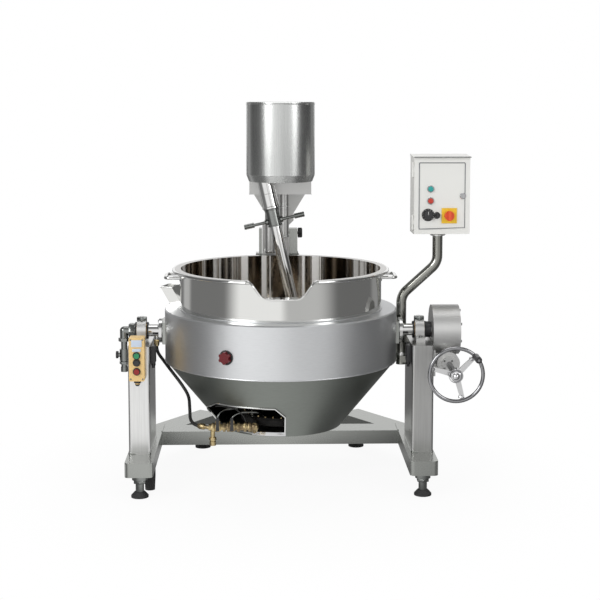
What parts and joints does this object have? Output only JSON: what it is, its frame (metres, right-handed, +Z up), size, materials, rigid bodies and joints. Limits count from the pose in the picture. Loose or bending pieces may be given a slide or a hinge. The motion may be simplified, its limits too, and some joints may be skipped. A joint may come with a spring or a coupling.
{
  "type": "tilting jacketed cooking kettle with mixer",
  "caption": "Floor-standing jacketed bowl on trunnions between two columns, tilted by a handwheel through worm gearing, with a swing-back planetary mixer head.",
  "frame": {"origin": "on the floor, straight below the kettle's vertical axis with the kettle upright", "axes": "+Z up; +X to the right seen from the front, along the trunnions towards the handwheel and cabinet; the pouring spout faces -Y"},
  "size_m": [1.4755, 1.1095, 1.574],
  "materials": {
    "frame_steel": "satin bead-blasted stainless sheet",
    "column_steel": "satin stainless sheet, vertical grain",
    "bowl_steel": "polished stainless, near mirror",
    "band_steel": "bright satin stainless",
    "cone_steel": "grey-green satin stainless",
    "canister_steel": "vertically brushed stainless",
    "polished_shaft": "ground and polished steel",
    "cast_block": "fine-cast, machined faces",
    "gear_paint": "satin aluminium housing",
    "gear_steel": "hobbed, oiled",
    "bronze": "turned bronze",
    "brass": "dull brass fittings with heat stain",
    "burner_iron": "black cast iron",
    "hose_rubber": "smooth black rubber",
    "foot_rubber": "black moulded pad",
    "foot_steel": "turned stainless",
    "chrome": "chrome plate",
    "black_plastic": "moulded black",
    "yellow_plastic": "moulded pale yellow",
    "green_plastic": "moulded green",
    "red_plastic": "moulded red",
    "orange_plastic": "moulded red-orange",
    "cabinet_paint": "off-white powder coat",
    "electric_grey": "moulded grey blocks on a zinc plate",
    "ptfe": "white scraper plastic",
    "motor_paint": "blue-grey enamel",
    "lamp_plastic": "clear moulded lens"
  },
  "bodies": {
    "base": {"right_side_frame": "frame_steel", "left_side_frame": "frame_steel", "cross_beam": "frame_steel", "right_column": "column_steel", "left_column": "column_steel", "foot_pads": "foot_rubber", "foot_screws": "foot_steel", "rubber_buffer": "foot_rubber", "right_bearing_block": "cast_block", "left_bearing_block": "cast_block", "bearing_bushes": "bronze", "gear_case": "gear_paint", "gear_case_cover": "gear_paint", "station_box": "yellow_plastic", "supply_pipe": "foot_steel", "cabinet_post": "polished_shaft", "cabinet_shell": "cabinet_paint", "control_gear": "electric_grey"},
    "kettle": {"bowl": "bowl_steel", "jacket_band": "band_steel", "jacket_cone": "cone_steel", "ring_burner": "burner_iron", "burner_manifold": "brass", "gas_hose": "hose_rubber", "flue_box": "bowl_steel", "rear_yoke": "frame_steel", "left_trunnion": "polished_shaft", "right_trunnion": "polished_shaft", "worm_wheel": "bronze", "grab_handles": "polished_shaft", "hinge_bracket": "frame_steel", "hinge_pin": "polished_shaft"},
    "flame_knob": {"flame_knob": "red_plastic"},
    "main_cock": {"main_cock_lever": "black_plastic"},
    "pilot_cock": {"pilot_cock_lever": "black_plastic"},
    "tilt_drive": {"worm": "gear_steel", "handwheel": "chrome"},
    "crank": {"crank_handle": "black_plastic"},
    "head_lock": {"head_lock_knob": "black_plastic"},
    "head": {"head_frame": "frame_steel", "canister": "canister_steel", "canister_lid": "canister_steel", "drive_motor": "motor_paint", "sun_gear": "gear_steel"},
    "carrier": {"carrier": "polished_shaft"},
    "agitator": {"agitator_shaft": "polished_shaft", "planet_gear": "gear_steel", "agitator_frame": "polished_shaft", "scrapers": "ptfe"},
    "coupling": {"tee_handle": "polished_shaft"},
    "door": {"cabinet_door": "cabinet_paint", "signal_lamps": "lamp_plastic"},
    "speed_knob": {"speed_knob": "black_plastic"},
    "selector": {"selector_knob": "black_plastic"},
    "main_switch": {"main_switch": "orange_plastic"},
    "door_lock": {"door_lock": "chrome"},
    "start_button": {"start_button": "green_plastic"},
    "jog_button": {"jog_button": "black_plastic"},
    "stop_button": {"stop_button": "red_plastic"},
    "inlet_valve": {"valve_knob": "black_plastic"}
  },
  "joints": [
    {"name": "kettle_tilt", "type": "hinge", "parent": "base", "child": "kettle", "pos_m": [0, 0, 0.636], "axis": [1, 0, 0], "range_deg": [0, 90]},
    {"name": "handwheel_turn", "type": "hinge", "parent": "base", "child": "tilt_drive", "pos_m": [0.683, 0, 0.512], "axis": [0, 1, 0], "range_deg": [-4050, 0]},
    {"name": "crank_spin", "type": "hinge", "parent": "tilt_drive", "child": "crank", "pos_m": [0.75725, -0.33, 0.58625], "axis": [0, 1, 0], "continuous": true},
    {"name": "head_swing", "type": "hinge", "parent": "kettle", "child": "head", "pos_m": [0, 0.5, 0.88], "axis": [-1, 0, 0], "range_deg": [0, 50]},
    {"name": "head_lock_turn", "type": "hinge", "parent": "kettle", "child": "head_lock", "pos_m": [0.08, 0.5, 0.987], "axis": [1, 0, 0], "range_deg": [0, 180]},
    {"name": "carrier_orbit", "type": "hinge", "parent": "head", "child": "carrier", "pos_m": [0, 0, 1.252], "axis": [0, 0, 1], "continuous": true},
    {"name": "agitator_spin", "type": "hinge", "parent": "carrier", "child": "agitator", "pos_m": [0, 0, 0.973], "axis": [-0.219, 0, 0.9757], "continuous": true},
    {"name": "coupling_slide", "type": "slide", "parent": "agitator", "child": "coupling", "axis": [0.219, 0, -0.9757], "range_m": [0, 0.025], "stiffness_N_per_m": 600, "springref_m": -0.02},
    {"name": "flame_turn", "type": "hinge", "parent": "kettle", "child": "flame_knob", "pos_m": [-0.214, -0.42518, 0.604], "axis": [-0.4496, -0.8932, 0], "range_deg": [0, 270]},
    {"name": "main_cock_turn", "type": "hinge", "parent": "kettle", "child": "main_cock", "pos_m": [-0.252, -0.3, 0.302], "axis": [0, 1, 0], "range_deg": [0, 90]},
    {"name": "pilot_cock_turn", "type": "hinge", "parent": "kettle", "child": "pilot_cock", "pos_m": [-0.196, -0.3, 0.302], "axis": [0, 1, 0], "range_deg": [0, 90]},
    {"name": "door_swing", "type": "hinge", "parent": "base", "child": "door", "pos_m": [0.543, 0.008, 1.189], "axis": [0, 0, -1], "range_deg": [0, 110]},
    {"name": "speed_turn", "type": "hinge", "parent": "door", "child": "speed_knob", "pos_m": [0.606, 0, 1.111], "axis": [0, 1, 0], "range_deg": [0, 270]},
    {"name": "selector_turn", "type": "hinge", "parent": "door", "child": "selector", "pos_m": [0.6425, 0, 1.109], "axis": [0, 1, 0], "range_deg": [-45, 45]},
    {"name": "main_switch_turn", "type": "hinge", "parent": "door", "child": "main_switch", "pos_m": [0.693, 0, 1.108], "axis": [0, 1, 0], "range_deg": [0, 90]},
    {"name": "door_lock_turn", "type": "hinge", "parent": "door", "child": "door_lock", "pos_m": [0.749, 0, 1.189], "axis": [0, 1, 0], "range_deg": [0, 90]},
    {"name": "start_press", "type": "slide", "parent": "base", "child": "start_button", "axis": [0, 1, 0], "range_m": [0, 0.004], "stiffness_N_per_m": 300, "springref_m": -0.003},
    {"name": "jog_press", "type": "slide", "parent": "base", "child": "jog_button", "axis": [0, 1, 0], "range_m": [0, 0.004], "stiffness_N_per_m": 300, "springref_m": -0.003},
    {"name": "stop_press", "type": "slide", "parent": "base", "child": "stop_button", "axis": [0, 1, 0], "range_m": [0, 0.004], "stiffness_N_per_m": 300, "springref_m": -0.003},
    {"name": "valve_turn", "type": "hinge", "parent": "base", "child": "inlet_valve", "pos_m": [-0.646, 0, 0.535], "axis": [1, 0, 0], "range_deg": [0, 90]}
  ],
  "couplings": [
    {"joint": "handwheel_turn", "follows": "kettle_tilt", "ratio": -45},
    {"joint": "agitator_spin", "follows": "carrier_orbit", "ratio": 1}
  ]
}
